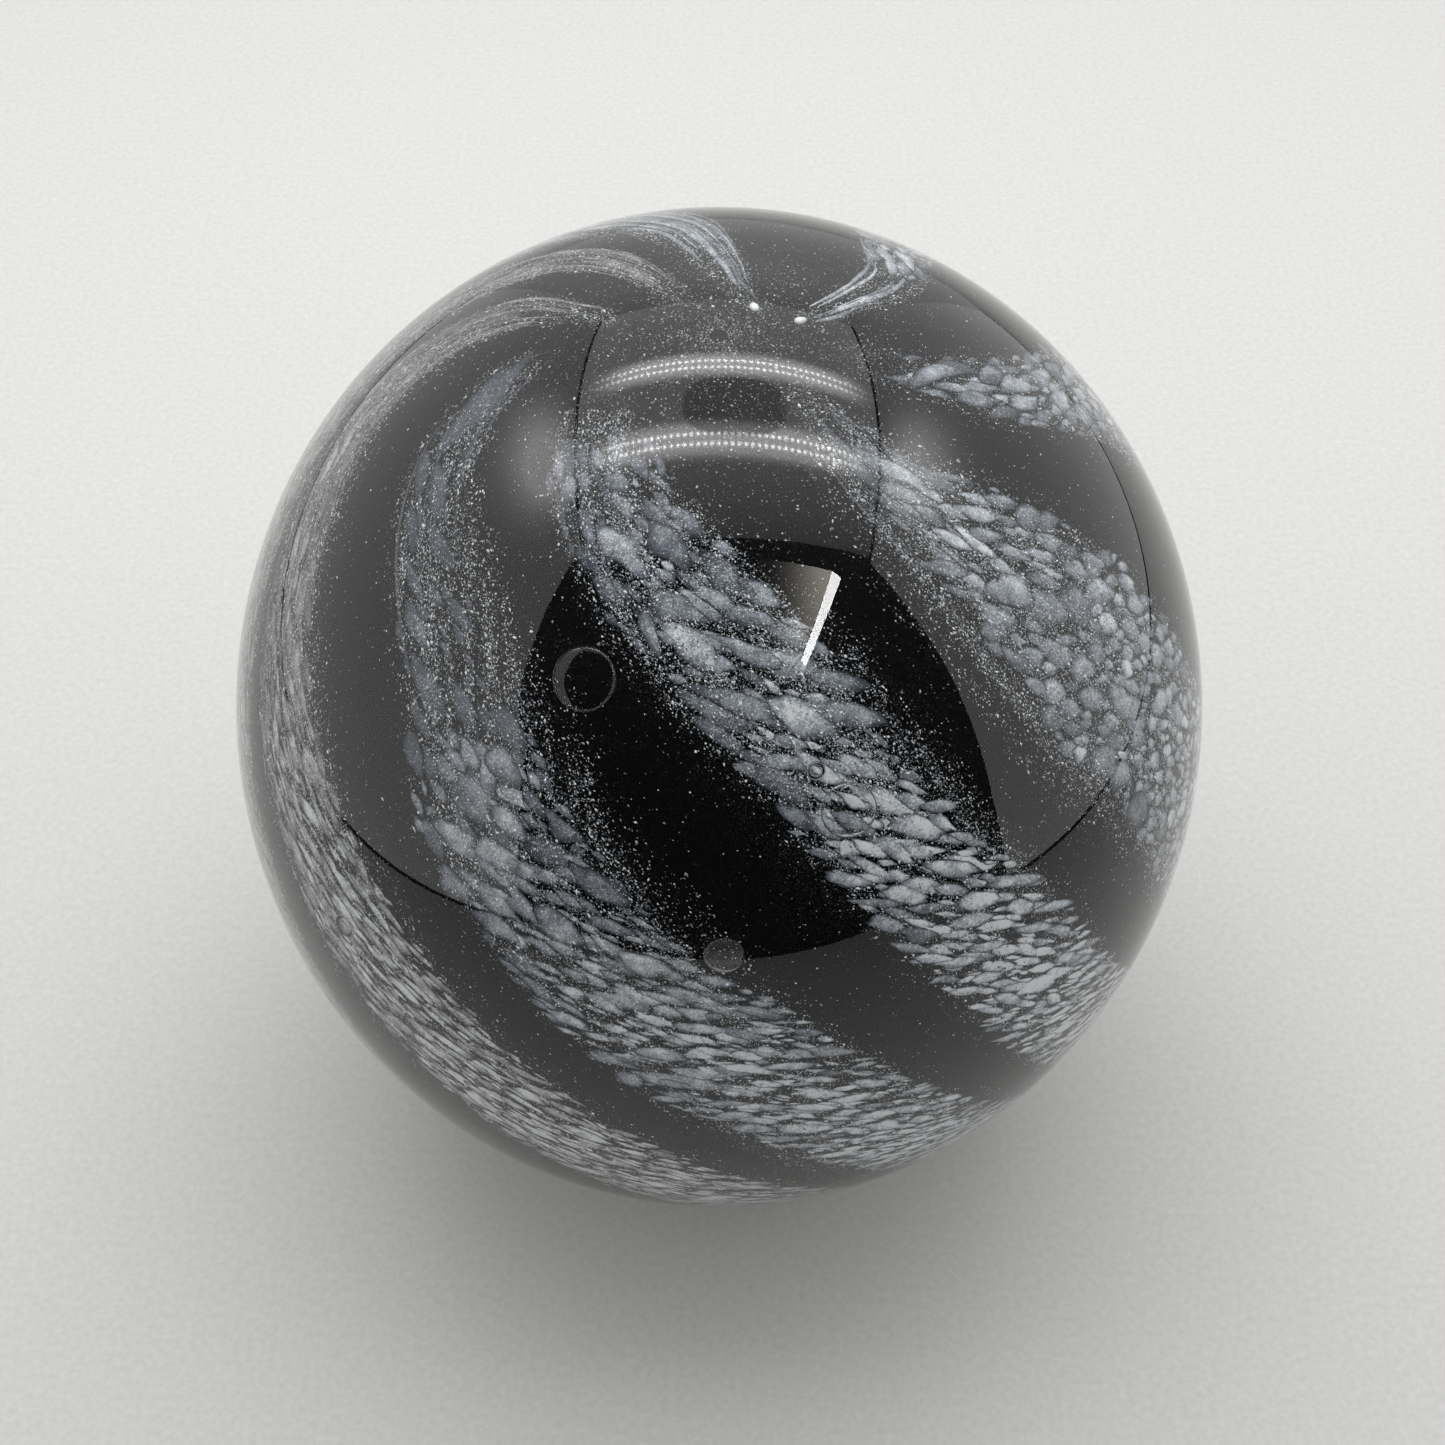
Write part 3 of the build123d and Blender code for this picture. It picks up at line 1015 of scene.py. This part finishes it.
sheet_paper = paper()
inner = level(TENT_LEFT, TENT_RIGHT, SHEET_FRONT, TENT_BACK, 0.0)
outer = level(-FLOOR_REACH, FLOOR_REACH, -FLOOR_REACH, FLOOR_REACH, 0.0)
sheet("studio_floor", inner, sheet_paper, reflection_only=False)
surround = mesh_piece(
    "studio_floor_surround",
    np.array(inner + outer, float),
    [[n, 4 + n, 4 + (n + 1) % 4, (n + 1) % 4] for n in range(4)],
    sheet_paper,
)
surround.visible_glossy = False

LAMP_ROWS = (0.061, 0.205)  # where the ceiling's two rows of lamps run
LAMP_PITCH = 0.0083
LAMP_LINES = (-0.008, 0.008)  # each row has two lines of lamps
LAMP_HALF = (0.0022, 0.003)
LAMP_GLOW = 16.0
ROW_HALF = (0.17, 0.027)  # the glow round each row
ROW_GLOW = 4.6
CEILING_MIDDLE = 0.02
HATCH_MIDDLE = (CEILING_MIDDLE, 0.12)  # a rounded opening in the ceiling
HATCH_HALF = (0.064, 0.054)
HATCH_POWER = 2.6  # 2 is an ellipse, more is squarer


def hill(tree, distance, reach, power):
    """1 at no distance, falling to nothing past reach, more steeply the higher the even power."""
    ratio = maths(tree, "MULTIPLY", distance, 1 / reach)
    return fading(tree, maths(tree, "POWER", ratio, power))


def ceiling_light(tree, emitter):
    """A dim ceiling with two rows of lamps and a dark rounded hatch between them."""
    place = node(tree, "ShaderNodeSeparateXYZ")
    tree.links.new(node(tree, "ShaderNodeTexCoord").outputs["Object"], place.inputs[0])
    x, y = place.outputs["X"], place.outputs["Y"]
    total = spread(tree, y, CEILING_FRONT, 0.06, 0.55, 1.5)
    ends = hill(tree, maths(tree, "SUBTRACT", x, CEILING_MIDDLE), ROW_HALF[0], 8)
    lamp = hill(tree, maths(tree, "PINGPONG", x, LAMP_PITCH / 2), LAMP_HALF[0], 2)
    for row in LAMP_ROWS:
        across = maths(tree, "SUBTRACT", y, row)
        row_light = maths(tree, "MULTIPLY", hill(tree, across, ROW_HALF[1], 4), ROW_GLOW)
        for line in LAMP_LINES:
            on_line = hill(tree, maths(tree, "SUBTRACT", across, line), LAMP_HALF[1], 2)
            dots = maths(tree, "MULTIPLY", on_line, lamp)
            row_light = maths(tree, "ADD", row_light, maths(tree, "MULTIPLY", dots, LAMP_GLOW))
        total = maths(tree, "ADD", total, maths(tree, "MULTIPLY", row_light, ends))
    shape = 0.0
    for axis, middle, half in zip((x, y), HATCH_MIDDLE, HATCH_HALF):
        offset = maths(tree, "MULTIPLY", maths(tree, "SUBTRACT", axis, middle), 1 / half)
        size = maths(tree, "ABSOLUTE", offset, 0.0)
        shape = maths(tree, "ADD", maths(tree, "POWER", size, HATCH_POWER), shape)
    total = maths(tree, "MULTIPLY", total, spread(tree, shape, 0.9, 1.1, 0.5, 1.0))
    tree.links.new(total, emitter.inputs["Strength"])


ceiling_material, tree, emitter = glow("tent_ceiling", 1.2)
ceiling_light(tree, emitter)
sheet(
    "tent_ceiling",
    level(TENT_LEFT + SEAM, TENT_RIGHT - SEAM, CEILING_FRONT, TENT_BACK, TENT_TOP),
    ceiling_material,
)

FAR = 100.0  # a soft spot with this size doesn't fade along that axis
for label, x, edge in (("left", TENT_LEFT, LEFT_EDGE), ("right", TENT_RIGHT, RIGHT_EDGE)):
    wall_material, tree, emitter = glow(f"tent_{label}", 1.0)
    spots = [((x, 0.08, 0.32), (FAR, 0.07, 0.06)), ((x, 0.05, 0.34), (FAR, 0.035, 0.04))]
    add_glow(tree, emitter, spots, 1.0, 4.2)
    corners = [(x, TENT_BACK, SEAM), (x, TENT_BACK, edge[0][1])] + [(x, y, z) for y, z in edge]
    sheet(f"tent_{label}", corners, wall_material)
back_material, tree, emitter = glow("tent_back", 0.8)
add_glow(tree, emitter, [((0.0, TENT_BACK, 0.30), (0.25, FAR, 0.12))], 0.75, 1.2)
sheet(
    "tent_back",
    [
        (TENT_LEFT, TENT_BACK, 0.0), (TENT_RIGHT, TENT_BACK, 0.0),
        (TENT_RIGHT, TENT_BACK, TENT_TOP), (TENT_LEFT, TENT_BACK, TENT_TOP),
    ],
    back_material,
)

# A lamp panel beyond the tent's open front: its narrow bright edge and its dim side.
glint_material = glow("lamp_glint", 20.0)[0]
sheet(
    "lamp_glint",
    [
        (0.184, -0.127, 0.443), (0.198, -0.133, 0.433),
        (0.144, -0.274, 0.384), (0.137, -0.266, 0.392),
    ],
    glint_material,
)
side_material, tree, emitter = glow("lamp_side", 1.6, (1.0, 0.95, 0.84))
add_glow(tree, emitter, [((0.184, -0.14, 0.444), (0.055, 0.16, 0.2))], 0.0, 5.0)
sheet(
    "lamp_side",
    [
        (0.060, -0.130, 0.486), (0.184, -0.127, 0.444),
        (0.137, -0.266, 0.393), (0.060, -0.245, 0.428),
    ],
    side_material,
)

# ---- lights ----


def area_light(name, place, target, size, power):
    light = bpy.data.lights.new(name, "AREA")
    light.shape = "RECTANGLE"
    light.size, light.size_y = size
    light.energy = power
    lamp = bpy.data.objects.new(name, light)
    lamp.location = place
    lamp.rotation_euler = (Vector(target) - Vector(place)).to_track_quat("-Z", "Y").to_euler()
    lamp.visible_camera = False
    lamp.visible_glossy = False
    lamp.visible_transmission = False
    bpy.context.scene.collection.objects.link(lamp)


area_light("tent_light", (0.0, 0.14, TENT_TOP - 0.005), (0.0, 0.14, 0.0), (0.36, 0.34), 1.06)
area_light("left_light", (TENT_LEFT, 0.12, 0.22), (0.0, 0.08, 0.02), (0.36, 0.34), 0.18)
area_light("right_light", (TENT_RIGHT, 0.12, 0.22), (0.0, 0.08, 0.02), (0.36, 0.34), 0.18)

AIR_REFLECTED = 0.005  # the world's strength in reflections, where 1 is what the camera sees
AIR_LIGHT = 0.55  # its strength as light

world = bpy.data.worlds.new("studio_air")
world.use_nodes = True
tree = world.node_tree
background = tree.nodes["Background"]
background.inputs["Color"].default_value = (0.80, 0.80, 0.79, 1.0)
rays = node(tree, "ShaderNodeLightPath").outputs
seen = maths(tree, "MULTIPLY", rays["Is Glossy Ray"], AIR_REFLECTED - 1)
lit = maths(tree, "MULTIPLY", rays["Is Diffuse Ray"], AIR_LIGHT - 1)
air = maths(tree, "ADD", maths(tree, "ADD", 1.0, seen), lit)
tree.links.new(air, background.inputs["Strength"])
bpy.context.scene.world = world

# ---- camera: 49 degrees above the table, five ball radii from the ball's middle ----

CAMERA_ELEVATION = 49.0
CAMERA_DISTANCE = 5 * OUTER_RADIUS
VIEW_WIDTH = 34.0  # degrees
AIM_DOWN = 0.735 * MM  # where the camera aims, from the ball's middle
AIM_RIGHT = 0.3 * MM

tilt = math.radians(CAMERA_ELEVATION)
middle = Vector(CENTRE)
back_off = Vector((0.0, -math.cos(tilt), math.sin(tilt)))
screen_up = Vector((0.0, math.sin(tilt), math.cos(tilt)))
aim = middle - screen_up * AIM_DOWN + Vector((1, 0, 0)) * AIM_RIGHT
camera_data = bpy.data.cameras.new("photo_view")
camera_data.angle = math.radians(VIEW_WIDTH)
camera_data.clip_start = 0.01
camera = bpy.data.objects.new("photo_view", camera_data)
camera.location = middle + back_off * CAMERA_DISTANCE
camera.rotation_euler = (aim - camera.location).to_track_quat("-Z", "Y").to_euler()
bpy.context.scene.collection.objects.link(camera)
bpy.context.scene.camera = camera

bpy.context.scene.view_settings.view_transform = "Standard"
